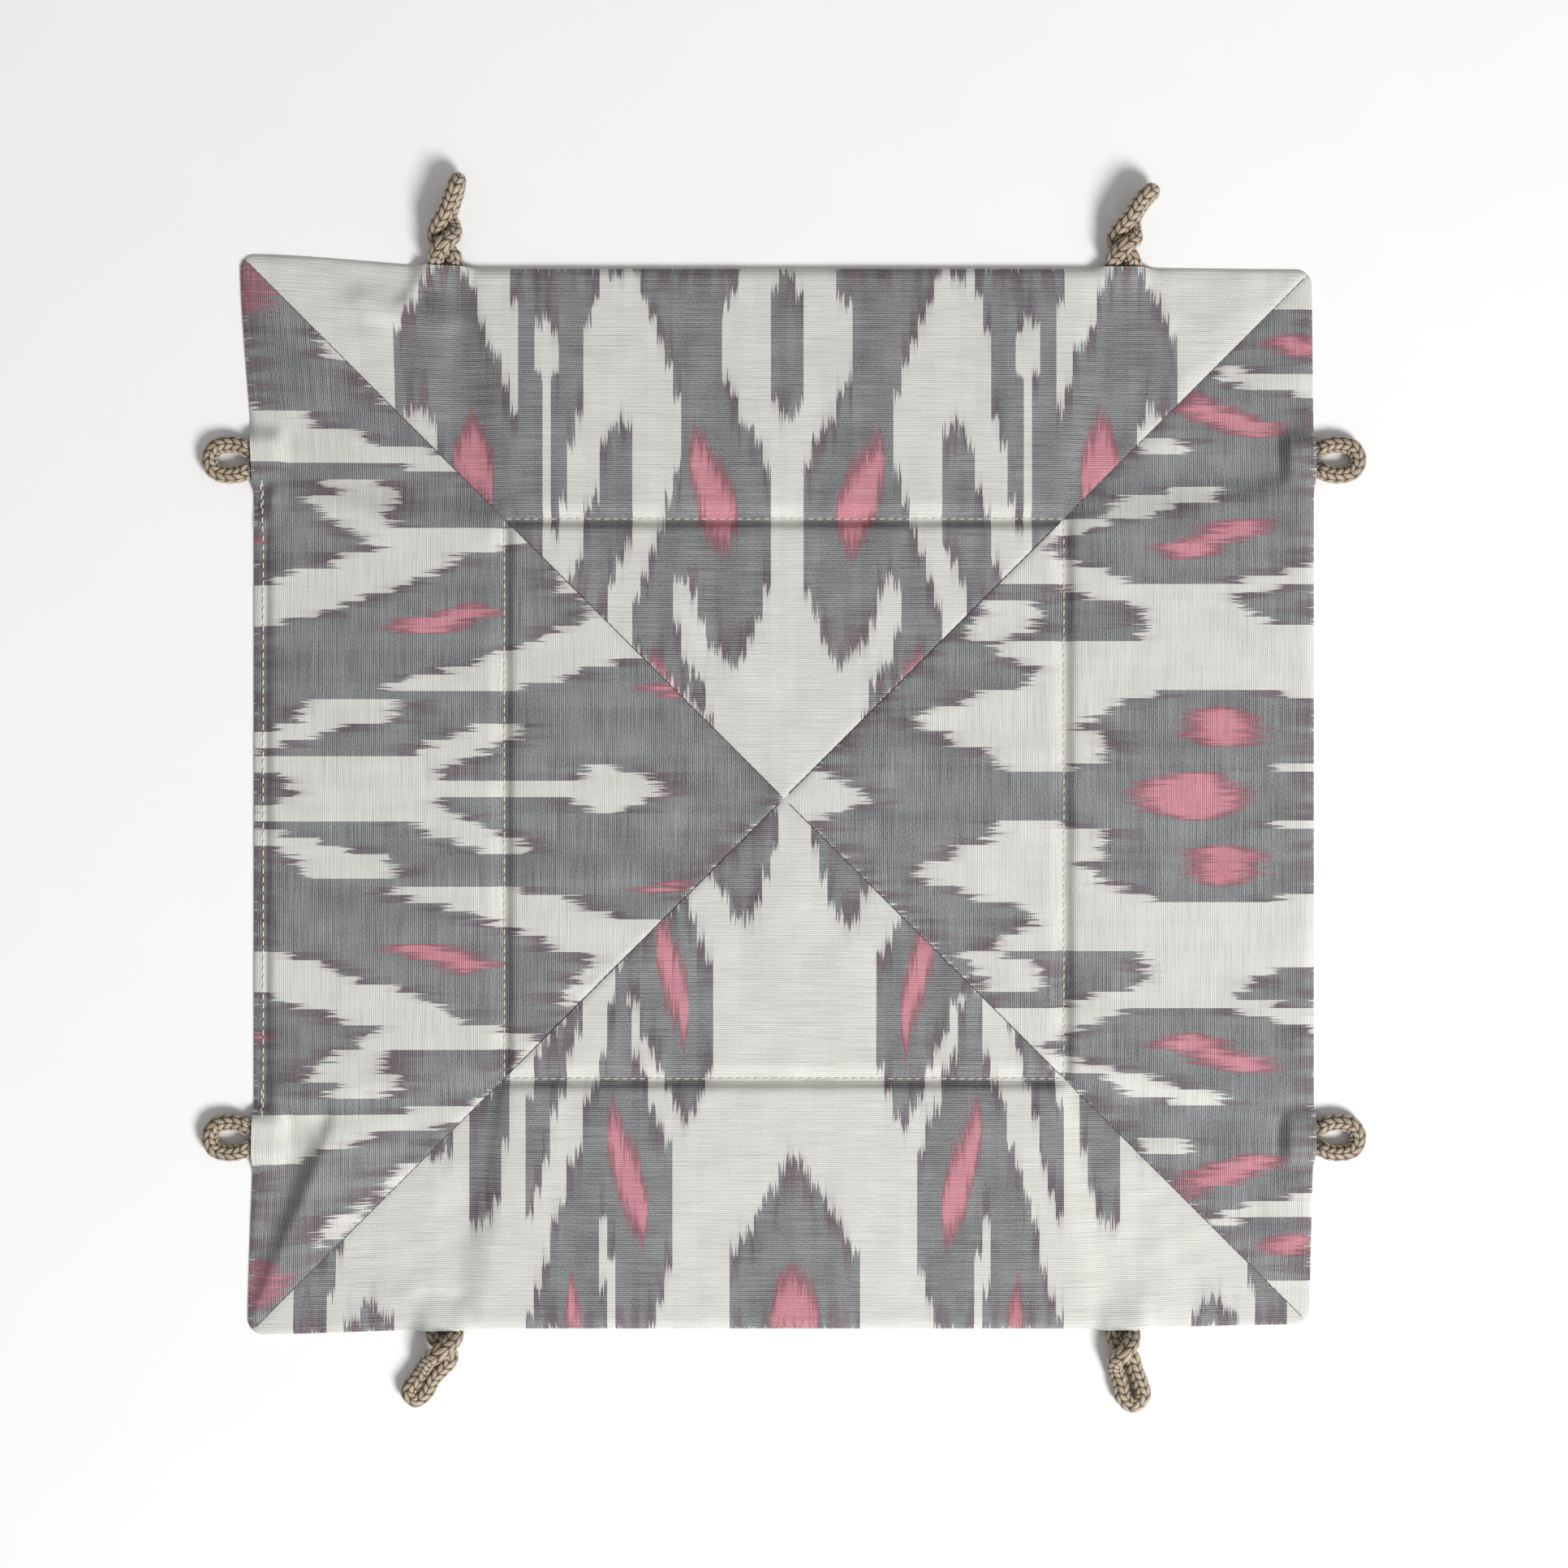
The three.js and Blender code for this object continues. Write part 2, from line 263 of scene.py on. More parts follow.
def bump(tree, shader, height, strength, distance):
    node = tree.nodes.new("ShaderNodeBump")
    node.inputs["Strength"].default_value = strength
    node.inputs["Distance"].default_value = distance
    feed(tree, node.inputs["Height"], height)
    feed(tree, shader.inputs["Normal"], node.outputs[0])


# Braided cord, taupe, with painted shade in the hollows between its stitches
def cordFinish():
    material, tree, shader = newMaterial("braided taupe cord", cord["surface"])
    along, around = axes(tree, "length")
    crown = reading(tree, "crown")
    fibre = grain(tree, along, around, 1.2, 5.5, detail=2.0)
    patch = grain(tree, along, around, 0.12, 0.3, seed=4.0)
    body = mixed(tree, ramp(tree, fibre, 0.3, 0.7), cord["fibreDark"], cord["fibreLight"])
    body = mixed(tree, ramp(tree, patch, 0.4, 0.7, 0.0, 0.4), body, cord["patch"])
    # Painted shade: near-black where the knitted surface sinks between stitches
    paintedGapShade = ramp(tree, crown, 0.3, 0.88)
    paint(tree, shader, mixed(tree, paintedGapShade, cord["paintedGapShade"], body))
    bump(tree, shader, fibre, strength=0.35, distance=0.0002)
    return material


def routeLine(route):
    # A centripetal Catmull-Rom curve through the route, as points about ringStep apart
    route = [(*point, cord["diameter"] / 2)[:3] for point in route]
    first, last = route[0], route[-1]
    stubs = [(point[0], cord["stub"], point[2]) for point in (first, last)]
    points = [Vector(p) for p in [first, stubs[0], *route[1:-1], stubs[1], last]]
    points = [2 * points[0] - points[1], *points, 2 * points[-1] - points[-2]]
    line = []
    for before, a, b, after in zip(points, points[1:], points[2:], points[3:]):
        gaps = [math.sqrt((q - p).length) for p, q in ((before, a), (a, b), (b, after))]
        leave = (a - before) / gaps[0] - (b - before) / (gaps[0] + gaps[1]) + (b - a) / gaps[1]
        arrive = (b - a) / gaps[1] - (after - a) / (gaps[1] + gaps[2]) + (after - b) / gaps[2]
        leave, arrive = leave * gaps[1], arrive * gaps[1]
        count = max(2, round((b - a).length / cord["ringStep"]))
        for i in range(count):
            t = i / count
            square, cube = t * t, t * t * t
            line.append(a * (2 * cube - 3 * square + 1) + leave * (cube - 2 * square + t)
                        + b * (3 * square - 2 * cube) + arrive * (cube - square))
    line.append(points[-2])
    return line


def braid(around, along):
    # Height of the knitted surface, from 0 in a gap to 1 on a thread
    column = around * cord["wales"] * 2
    slant = np.abs((column % 2) - 1)
    stitch = (along / cord["stitchLength"] + slant * cord["lean"]) % 1
    thread = np.sqrt(np.clip(1 - (2 * stitch - 1) ** 2, 0, 1))
    across = np.abs((column % 1) - 0.5) * 2
    return thread * (1 - cord["rounding"] * across ** 4)


def knit(rings):
    # The cord's surface round its rings: places, height of the relief, and length and girth
    count, around = len(rings), cord["around"]
    tangents = [(rings[min(i + 1, count - 1)] - rings[max(i - 1, 0)]).normalized() for i in range(count)]
    normal = tangents[0].orthogonal().normalized()
    vertices, crowns, coords = [], [], []
    along = 0
    turn = np.arange(around) / around
    for i, centre in enumerate(rings):
        if i:
            along += (centre - rings[i - 1]).length
            normal = tangents[i - 1].rotation_difference(tangents[i]) @ normal
        sideways = tangents[i].cross(normal)
        crown = braid(turn, along)
        radius = cord["diameter"] / 2 + cord["relief"] * (crown - cord["level"])
        for j in range(around):
            angle = 2 * math.pi * turn[j]
            spoke = normal * math.cos(angle) + sideways * math.sin(angle)
            place = centre + spoke * radius[j]
            pressed = cord["pressed"] * smooth((cord["pressFrom"] - place.y) / cord["pressOver"])
            place.z = cord["foot"] + (place.z - cord["foot"]) * (1 - pressed)
            vertices.append(place)
        crowns.extend(crown)
        coords.extend((along, t * math.pi * cord["diameter"]) for t in turn)
    return vertices, crowns, coords


def tubeFaces(count, around):
    faces = []
    for i in range(count - 1):
        for j in range(around):
            k = (j + 1) % around
            faces.append((i * around + j, i * around + k, (i + 1) * around + k, (i + 1) * around + j))
    faces.append(tuple(reversed(range(around))))
    faces.append(tuple(range((count - 1) * around, count * around)))
    return faces


def smoothPiece(name, mesh):
    piece = bpy.data.objects.new(name, mesh)
    bpy.context.collection.objects.link(piece)
    only(piece)
    bpy.ops.object.shade_smooth()
    return piece


def makeCord(side, hand):
    end = endOf(side, hand)
    knotted = (side, end) in knotRoutes
    line = routeLine(knotRoutes[side, end] if knotted else loopRoute)
    tailSteps = range(1, round(cord["tail"] / cord["ringStep"]) + 1)
    start = [line[0] - Vector((0, cord["ringStep"] * i, 0)) for i in reversed(tailSteps)]
    finish = [line[-1] - Vector((0, cord["ringStep"] * i, 0)) for i in tailSteps]
    rings = start + line + finish
    vertices, crowns, coords = knit(rings)
    across = Vector((hand * cordPlace, reach, 0))
    name = f"{'knotted' if knotted else 'looped'}_cord_{side}_{end}"
    mesh = bpy.data.meshes.new(name)
    faces = tubeFaces(len(rings), cord["around"])
    mesh.from_pydata([turned(side, v + across) for v in vertices], [], faces)
    mesh.attributes.new("crown", "FLOAT", "POINT").data.foreach_set("value", crowns)
    uv = mesh.uv_layers.new(name="length")
    corners = [coords[loop.vertex_index] for loop in mesh.loops]
    uv.data.foreach_set("uv", [value for pair in corners for value in pair])
    mesh.materials.append(cordMaterial)
    piece = smoothPiece(name, mesh)
    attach(piece, f"{side}_{end}_corner")
    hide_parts(f"{'knot' if knotted else 'loop'}_cord_{side}_{end}")


cordMaterial = cordFinish()
for cordSide in turns:
    for cordHand in (-1, 1):
        makeCord(cordSide, cordHand)


# The ikat's motifs, in millimetres. An outline is a row of pairs: from the cut's middle, and out from
# the tray's middle. Each is one half, mirrored. Bare shapes are taken out of the dyed ones, red ones
# lie on them.
middles = {"north": 1.0, "east": -0.8, "south": -3.3, "west": 3.0}  # of the cuts
motifs = {
    ("north", "dyed"): [
        [0, 115, 2, 117, 3.5, 120, 5.3, 124, 5.3, 151, 3.5, 156, 1.5, 160, 0, 165],
        [18.8, 165, 18.8, 128, 16.2, 125, 16, 116, 12, 115, 8, 108, 5.3, 98, 5.3, 67, 7.5, 60, 10.5, 51,
        13.5, 44, 17, 40, 22, 30, 23, 22, 47.5, 46, 47.5, 57, 45, 64, 42, 73, 39.5, 79, 37, 88, 34.5, 98,
        32, 104, 32, 112, 33, 119, 35.5, 131, 38.5, 139, 42.5, 149, 45.5, 157, 47, 165],
        [13.5, 165, 15, 158, 17, 154, 19, 150, 19, 165],
        [50.5, 165, 51.5, 158, 53.5, 157, 55, 165],
        [48, 78, 48, 110, 49.5, 117, 53, 114, 56, 109, 58.5, 103, 58.8, 92, 61, 89, 63, 80, 64, 72,
        66.5, 66, 66, 60, 56, 54, 56, 62, 53.5, 66, 51, 72],
        [56.5, 165, 58.5, 155, 61.5, 143, 61.8, 120, 64.2, 117, 64.4, 109, 66.8, 107, 67, 94, 69.2, 91,
        69.2, 84, 71.3, 82, 71.5, 66, 118.8, 113, 118.8, 143, 116, 149, 113, 153, 110, 161, 106, 165,
        101, 165, 98, 160, 96, 156, 96, 147, 93.5, 145, 93.5, 140, 90.5, 139, 88, 136, 88, 130, 86, 127,
        85.5, 120, 83.5, 118, 82.8, 127, 83, 150, 85.5, 158, 85.5, 165],
    ],
    ("north", "bare"): [
        [30.5, 67, 34, 66, 34.5, 52, 32, 50, 32, 42, 29, 39, 26, 35, 23, 22, 12, 30, 17, 40, 19, 43, 24, 47,
        26.5, 54, 28.5, 61],
        [69.8, 131, 69.8, 141, 72, 145, 74, 149, 76, 146, 78, 142, 78, 131],
        [72.2, 132, 71.6, 60, 74.4, 60, 75, 132],
        [108, 105, 108, 114, 110.5, 119, 112.5, 122, 114, 118, 117.5, 117, 119, 115],
    ],
    ("north", "red"): [
        [90, 88, 90, 103, 92.5, 108, 95, 114, 97.5, 119, 100, 111, 102, 105, 103.5, 100],
        [15, 88, 17, 78, 20, 75, 24, 81, 27.5, 89, 29, 96, 29, 111, 26.5, 109, 23, 104, 19, 98, 15.5, 93],
        [33, 32, 40, 42, 43, 44, 43, 40],
    ],
    ("east", "dyed"): [
        [0, 26, 2, 24, 4, 19, 6, 14, 9, 8, 60, 58, 58, 62, 55, 61, 52, 57, 48, 55, 47, 60, 46.5, 64,
        43.5, 66, 41.5, 69, 41, 75, 38, 77, 35, 75, 33.5, 73, 31.8, 70, 31.8, 60, 29, 55, 27.3, 52, 27, 45,
        23.5, 41, 21, 43, 19.3, 46, 19.3, 50, 16.5, 52, 14.5, 50, 14.3, 62, 10.5, 64, 8.5, 66, 8.3, 86,
        10.6, 89, 10.6, 97, 13, 99, 16.5, 98, 19.5, 97, 21.5, 90, 24.5, 97, 27, 100, 28.5, 103, 30.5, 107,
        31, 113, 33.2, 116, 33.2, 151, 30.3, 153, 30.3, 165, 0, 165],
        [46.8, 70, 46.8, 103, 49, 110, 54, 112, 58, 109, 60, 104, 60, 98, 62.3, 92, 62.5, 88, 65.3, 87,
        65.5, 60, 60, 60, 60, 76, 57, 79, 53, 79, 50, 74, 48.5, 68],
        [51.3, 165, 53.3, 153, 54.5, 146, 58, 141, 61.5, 140, 62, 149, 64, 152, 65, 158, 66.8, 165],
        [72, 165, 70, 158, 68.8, 152, 66.8, 150, 66.5, 139, 64.8, 139, 64.8, 104, 66.5, 102, 68.5, 99,
        70.5, 92, 73, 88, 74, 84, 76.5, 81, 79, 84, 80, 90, 83, 93, 84, 102, 85.5, 103, 86, 84, 150, 146,
        149.8, 165],
    ],
    ("east", "bare"): [
        [6.5, 165, 7.5, 154, 9, 151, 9.8, 156, 9.8, 165],
        [85.5, 99, 85.5, 112, 88, 118, 90.5, 121, 91, 133, 93, 137, 95, 130, 95.5, 120, 93, 118, 92.5, 105,
        90, 102, 87, 99],
        [106, 110, 106, 124, 108, 127, 109.5, 120, 111, 110],
        [122.5, 165, 124, 155, 126, 142, 129, 133, 133, 133, 131, 142, 129.5, 148, 129, 165],
    ],
    ("east", "red"): [
        [0, 107, 3, 110, 6, 116, 8, 122, 8, 130, 5, 137, 0, 141],
        [14.5, 128, 14.5, 143, 18, 144, 23, 145, 25, 142, 28, 137, 28, 128, 24, 126, 19, 125],
        [72.5, 130, 73, 120, 76, 114, 78, 116, 78.5, 124, 81, 128, 84.5, 133, 85, 148, 81, 148, 79, 140,
        76, 134],
        [110, 150, 112, 156, 116, 145, 119, 138, 121, 131, 124, 127, 118, 122, 114, 130, 111.5, 138],
        [134, 165, 136, 155, 139, 148, 141, 150, 142, 158, 140, 165],
    ],
    ("south", "dyed"): [
        [0, 165, 20.8, 165, 20.8, 143, 18, 138, 15, 133, 12, 128, 9, 122, 6, 118, 3, 113, 0, 110],
        [44.3, 165, 42.3, 157, 39.3, 148, 37.8, 141, 36.6, 139, 36.6, 112, 39.3, 106, 40.3, 100, 43.3, 97,
        44.8, 93, 44.8, 85, 47.3, 82, 49.8, 77, 50.3, 64, 52.3, 60, 52.3, 50, 55.3, 56, 57.3, 66, 57.8, 78,
        60.3, 82, 61.3, 88, 63.3, 92, 65.3, 98, 65.3, 105, 67.3, 109, 69.8, 116, 71.3, 124, 73.3, 127,
        74.3, 134, 75.3, 140, 77.8, 148, 79.3, 154, 81.3, 158, 83.3, 165],
        [33.3, 101, 31.3, 97, 29.3, 91, 27.3, 85, 24.6, 80, 24.6, 50, 27.3, 47, 29.3, 42, 31.8, 35,
        32.3, 28, 53.3, 46, 52.8, 58, 50.3, 62, 47.8, 64, 47.3, 70, 44.8, 76, 42.3, 80, 40.3, 85, 38.8, 91,
        35.3, 97],
        [5.5, 2, 5.5, 12, 8, 21, 10.3, 31, 13.3, 37, 17, 39, 20, 36, 21.5, 29, 25, 25, 27, 20],
        [83.3, 131, 80.3, 126, 78.3, 120, 78.3, 112, 75.8, 111, 75.3, 100, 73.3, 96, 71.3, 90, 70.8, 80,
        68.8, 78, 66.3, 72, 65.3, 60, 73.3, 70, 78.3, 78, 79.3, 84, 81.3, 92, 82.3, 104, 83.3, 112],
        [99.3, 131, 95.3, 130, 91.3, 124, 90.8, 115, 88.8, 107, 86.3, 100, 86.3, 82, 99.3, 95, 99.3, 104],
        [105.3, 100, 105.3, 109, 107.3, 108, 113.3, 113, 113, 108],
        [141.3, 165, 141.3, 150, 139.3, 146, 139.3, 140, 136.3, 130, 153.3, 148, 152.8, 165],
        [122.8, 165, 124.3, 156, 127.3, 157, 130.3, 153, 133.3, 158, 136.3, 160, 137.3, 165],
    ],
    ("south", "bare"): [
        [54.3, 165, 54.8, 150, 55.3, 142, 57.3, 138, 57.3, 130, 59.8, 129, 59.8, 150, 57.3, 152, 56.8, 165],
    ],
    ("south", "red"): [
        [0, 165, 8, 165, 8, 155, 6, 151, 3, 148, 0, 146],
        [44.3, 130, 45.3, 136, 48.3, 134, 51.3, 128, 54.3, 120, 55.3, 114, 57.3, 108, 57.8, 98, 55.8, 93,
        53.8, 100, 50.8, 107, 47.3, 113, 45.3, 120],
        [31.8, 62, 32.3, 70, 33.8, 77, 35.3, 70, 38.3, 64, 40.3, 56, 42.3, 50, 42.8, 38, 39.3, 36, 38.3, 44,
        35.3, 50, 33.3, 56],
        [64.3, 165, 65.8, 158, 67.3, 150, 69.8, 150, 70.3, 158, 70.3, 165],
    ],
    ("west", "dyed"): [
        [0, -4, 0, 165, 49, 165, 49, 155, 53, 150, 53, 144, 55.5, 138, 57.5, 133, 59.5, 129, 60, 122,
        62, 118, 64.5, 112, 66, 108, 67, 103, 71, 101, 71.8, 95, 72.5, 90, 74.5, 85, 76, 78, 77, 70],
        [62, 165, 64, 156, 66.5, 150, 66.5, 142, 69, 138, 73.5, 135, 73.5, 125, 75.5, 124, 76.5, 130,
        79, 131, 81, 134, 81.5, 140, 85, 142, 88, 145, 88.5, 150, 90, 138, 93, 136, 94, 142, 94, 123,
        92, 119, 89, 119, 88, 122, 82.5, 124, 80.5, 118, 80.8, 80, 90, 84, 96, 94, 98, 110, 99, 118,
        99.3, 140, 99.5, 165],
        [117, 165, 115.3, 158, 115, 148, 111, 143, 109, 130, 105.5, 127, 104, 116, 103.5, 97, 166, 159,
        166, 165],
    ],
    ("west", "bare"): [
        [0, 149, 2.5, 152, 4.5, 156, 6, 159, 6.3, 165, 10.5, 165, 10.5, 113, 13, 112, 15.5, 104, 17, 96,
        19.8, 93, 19.8, 79, 16, 81, 14.5, 86, 12, 91, 9.5, 98, 6.5, 103, 4, 106, 2.4, 104, 2.4, 66, 5, 62,
        6.5, 58, 6.5, 50, 5, 46, 3.5, 42, 1, 38, 0, 33],
        [10.4, 165, 13.5, 155, 16, 143, 18, 136, 20.5, 130, 20.5, 122, 24, 119.5, 28.5, 118, 28.5, 138,
        27, 146, 25, 148, 21, 150, 17, 158, 16.5, 165],
        [30.8, 121, 33, 121, 34, 112, 36, 104, 38, 96, 41, 90, 43.5, 85, 44, 78, 46.5, 74, 50, 69, 50.5, 60,
        55, 60, 59, 63, 61, 68, 67, 68, 63, 56, 41, 36, 39.8, 47, 39.5, 51, 37.5, 54, 37.3, 62, 35, 64,
        32.5, 67, 32.5, 78, 30.2, 81, 30, 100],
        [114, 109, 117, 120, 121, 122, 124, 126, 127, 128, 122, 116],
        [128, 126, 130, 137, 134, 140, 139, 141, 136, 132],
    ],
    ("west", "red"): [
        [47.5, 112, 48, 120, 50, 124, 51.5, 115, 53, 108, 55, 103, 56.5, 99, 56, 90, 54, 88, 52, 93,
        50.5, 98, 48, 103, 47.5, 108],
        [142, 165, 144, 158, 149, 154, 155, 156, 159, 165],
        [28.5, 30, 29, 42, 31, 45, 32, 38, 31.5, 30],
        [75, 165, 75.5, 159, 77.5, 159, 78, 165],
    ],
}


# Seams, in millimetres: one stitch is modelled, then copied along each. Fill is the share of the
# pitch that shows as thread, and lift is how far the thread's middle stands over the cloth.
thick = {"pitch": 2.75, "wide": 0.45, "fill": 0.78}
thin = {"pitch": 2.3, "wide": 0.3, "fill": 1.15}
sewing = {
    "fold": {**thick, "lift": 0.1},
    "mitre": {**thin, "lift": 0.2},
    "corner": {**thin, "lift": 0.0},
    "edge": {**thick, "lift": 0.12},
    "backtack": {**thick, "lift": 0.14},
    "mitreFrom": 1.5,  # past the middle, and past a fold line
    "mitreShort": 1,  # of a fold line
    "rimShort": 1.8,  # of the outer corner
    "edgeInset": 3,
    "edgeHalf": 98,  # half the sewn-up opening, and a little past it
    "edgeEase": 6,  # over which its cloth rises again
    "backtackCount": 3,  # stitches sewn over again at each end of the opening
    "backtackShort": 1,
    "backtackAside": 0.5,
    "twist": 4200,  # cells of its grain in a metre
    "cream": ((0.6, 0.56, 0.45), (0.82, 0.79, 0.68)),
    "dark": ((0.02, 0.02, 0.022), (0.06, 0.058, 0.062)),
    "surface": {"Roughness": 0.55, "Sheen Weight": 0.2},
}

# Ikat cloth, in millimetres: warp runs outward from the middle, in bundles that were dyed together
weave = {
    "bundle": 2.5,
    "ends": 1.2,  # how unevenly a bundle's dye ends
    "fray": 14,  # how unevenly its threads end, one by one
    "clump": 5,  # and in small groups
    "roseFray": 1.3,  # how much more than that for rose
    "bleed": 0.3,  # share of rose that neighbouring bundles even out
    "search": (-12, 14, 0.2),  # where ends are looked for: from, past the rim, step
    "far": 40.0,  # given where a bundle's dye never changes
    # Painted shade: rose is held down near the west cut's outer corners
    "westCornerShade": {"most": 9, "from": 128, "over": 12},  # fades near the outer corners
    "thread": 0.42,
    "rib": 0.6,
    "seed": 11,
    "shade": {"pick": 0.42, "fleck": 0.45, "cloud": 0.35, "rib": 0.42, "bundle": 0.03},
    "shadeSpan": (0.44, 1.24),
    "ground": (0.795, 0.795, 0.752),
    "groundDeep": (0.535, 0.53, 0.485),
    "darkGrey": (0.085, 0.088, 0.092),
    "lightGrey": (0.365, 0.375, 0.378),
    "violet": (0.76, 0.585, 0.66),
    "veil": (0.4, 0.32, 0.34),
    "rose": (0.73, 0.36, 0.405),
    "roseDeep": (0.42, 0.14, 0.18),
    "halo": (0.42, 0.2, 0.23),  # round the rose
    "haloDeep": (0.17, 0.06, 0.075),
    "surface": {"Roughness": 0.66, "Specular IOR Level": 0.3, "Sheen Weight": 0.1, "Sheen Roughness": 0.45},
}

# Plain cotton underneath
lining = {
    "thread": 0.7,
    "height": 0.56,
    "wave": 0.06,
    "waveOver": 10,  # width past the fold over which it starts
    "rimDip": 0.16,
    "rimWide": 2,
    "grid": 60,
    "cotton": ((0.56, 0.52, 0.44), (0.68, 0.645, 0.565)),
    "surface": {"Roughness": 0.85, "Specular IOR Level": 0.2},
}


def ikatFinish():
    material, tree, shader = newMaterial("ikat cloth", weave["surface"])
    across, out = axes(tree, "flat")
    perThread, perRib = 1 / weave["thread"], 1 / weave["rib"]
    # Each warp thread's dye ends at its own place
    strand = grain(tree, across, out, perThread, 0.07, detail=1.0)
    clump = grain(tree, across, out, 0.8, 0.05, seed=3.0)
    strand, clump = (calc(tree, "SUBTRACT", noise, 0.5) for noise in (strand, clump))
    fray = weighed(tree, (strand, weave["fray"]), (clump, weave["clump"]))
    dye = calc(tree, "ADD", reading(tree, "dye"), fray)
    rose = calc(tree, "ADD", reading(tree, "rose"), calc(tree, "MULTIPLY", fray, weave["roseFray"]))
    # Weft threads cross the dyed warp as fine dark and light lines
    wave = calc(tree, "SINE", calc(tree, "MULTIPLY", out, 2 * math.pi * perRib))
    rib = ramp(tree, wave, -1, 1)
    pick = grain(tree, across, out, 0.06, perRib * 1.7, seed=6.0)
    fleck = grain(tree, across, out, perThread, perRib, seed=5.0)
    cloud = grain(tree, across, out, 0.09, 0.07, seed=12.0, detail=1.0)
    shade = weave["shade"]
    tone = weighed(tree, (pick, shade["pick"]), (fleck, shade["fleck"]), (cloud, shade["cloud"]),
                   (rib, shade["rib"]), (reading(tree, "tone"), shade["bundle"]))
    level = ramp(tree, tone, *weave["shadeSpan"])
    greyed = mixed(tree, level, weave["darkGrey"], weave["lightGrey"])
    stain = ramp(tree, grain(tree, across, out, 0.3, 0.045, seed=8.0), 0.38, 0.58)
    edge = calc(tree, "MULTIPLY", ramp(tree, dye, 1, 16, 1, 0), stain)
    stained = mixed(tree, 1.0, greyed, weave["violet"], "MULTIPLY")
    greyed = mixed(tree, edge, greyed, stained)
    halo = mixed(tree, level, weave["haloDeep"], weave["halo"])
    greyed = mixed(tree, ramp(tree, rose, -5.0, 0.5), greyed, halo)
    pink = mixed(tree, level, weave["roseDeep"], weave["rose"])
    greyed = mixed(tree, ramp(tree, rose, -0.5, 6.5), greyed, pink)
    pale = mixed(tree, level, weave["groundDeep"], weave["ground"])
    wash = calc(tree, "MULTIPLY", ramp(tree, dye, -8, -0.5, 0, 0.3), stain)
    pale = mixed(tree, wash, pale, weave["veil"])
    colour = mixed(tree, ramp(tree, dye, -0.8, 0.8), pale, greyed)
    slub = ramp(tree, grain(tree, across, out, 0.05, 1.9, seed=2.0, detail=1.0), 0.3, 0.44, 0.88, 1.0)
    paint(tree, shader, mixed(tree, 1.0, colour, grey(tree, slub), "MULTIPLY"))
    relief = calc(tree, "ADD", rib, calc(tree, "MULTIPLY", fleck, 0.6))
    bump(tree, shader, relief, strength=0.45, distance=0.00012)
    return material


def liningFinish():
    material, tree, shader = newMaterial("plain cotton lining", lining["surface"])
    across, out = axes(tree, "flat")
    turn = 2 * math.pi / lining["thread"]
    warp, weft = (calc(tree, "SINE", calc(tree, "MULTIPLY", way, turn)) for way in (across, out))
    check = ramp(tree, calc(tree, "MULTIPLY", warp, weft), -1, 1)
    uneven = grain(tree, across, out, 1.4, 0.05, detail=2.0)
    crossing = grain(tree, across, out, 0.05, 1.4, seed=4.0, detail=2.0)
    tone = weighed(tree, (uneven, 0.5), (crossing, 0.5))
    cotton = mixed(tree, ramp(tree, tone, 0.35, 0.65), *lining["cotton"])
    light = ramp(tree, check, 0, 1, 0.86, 1.0)
    paint(tree, shader, mixed(tree, 1.0, cotton, grey(tree, light), "MULTIPLY"))
    bump(tree, shader, calc(tree, "ADD", check, tone), strength=0.4, distance=0.00015)
    return material


# How the cloth lies, in millimetres. Heights are above the table.
lie = {
    "valley": 1.05,  # in the stitched folds
    "board": 3.8,  # over the boards
    "loose": 1.55,  # corners, with no board in them
    "rimFoot": 0.55,  # where the ikat turns under at the rim
    "wallFrom": 0.2,  # from a fold line to the wall up to a board
    "slope": 3.7,  # width of that wall
    "creaseSlope": 11,
    "foldEase": 8,  # width of the loose cloth's slope to a fold
    "boardWave": 0.1,  # unevenness over the boards
    "looseWave": 0.35,  # and in the corners
    "waveOver": 20,  # width over which that starts
    "ridgeTurn": 6,  # over which a ridge changes its width
    "rimRound": 4.2,
    "corner": 4.5,  # radius of the four outer corners
    "pullFrom": 92,  # from the middle, where an outer corner is drawn out
    "pullOver": 71,
    "tailHeight": {"north": 4.9, "east": 5.3, "south": 4.2, "west": 4.9},  # over the cords' ends
    "tailReach": 11,  # how far in from the rim they end
    "tailWide": 4.2,
    "tailSlope": 6.5,
    "tailEnd": 3.2,  # how fast the cloth climbs on to a loop's ends
    "tailEndKnot": 10,  # and on to a knotted cord's ends
    "tailPress": 0.6,  # cloth pressed in where a cord's end stops
    "tailPressWide": 2.2,
    "pressFrom": 156.3,  # from the middle, where the sewn-up opening is flat
    "pressSlope": 2.9,
    "pinch": 0.1,  # most height for each millimetre from the corner's seam
    "shareWide": 30,  # flapShare holds this far from the seam
    "seamRoom": 0.12,  # that the seam keeps under the hinge
    "flapFold": 6,  # width over which that limit starts at the fold
    "flapCrease": 4,  # and at the crease
    "flapPast": 1,  # before the crease
    "thickness": 0.5,
    "seamDip": 0.4,
    "seamWide": 0.55,
    "flapDip": 0.5,  # share of the seam's dip where there's no board
    "step": 1.25,  # between the mesh's columns
    "foldBand": 3,  # finer rows, this far on both sides of a fold
    "rimBand": 5,  # and this far in from the rim
    "foldBend": 1.3,  # half a fold's width
    "creaseBend": 2.2,  # and a crease's width
    "smoothBelow": 50,  # degrees
}
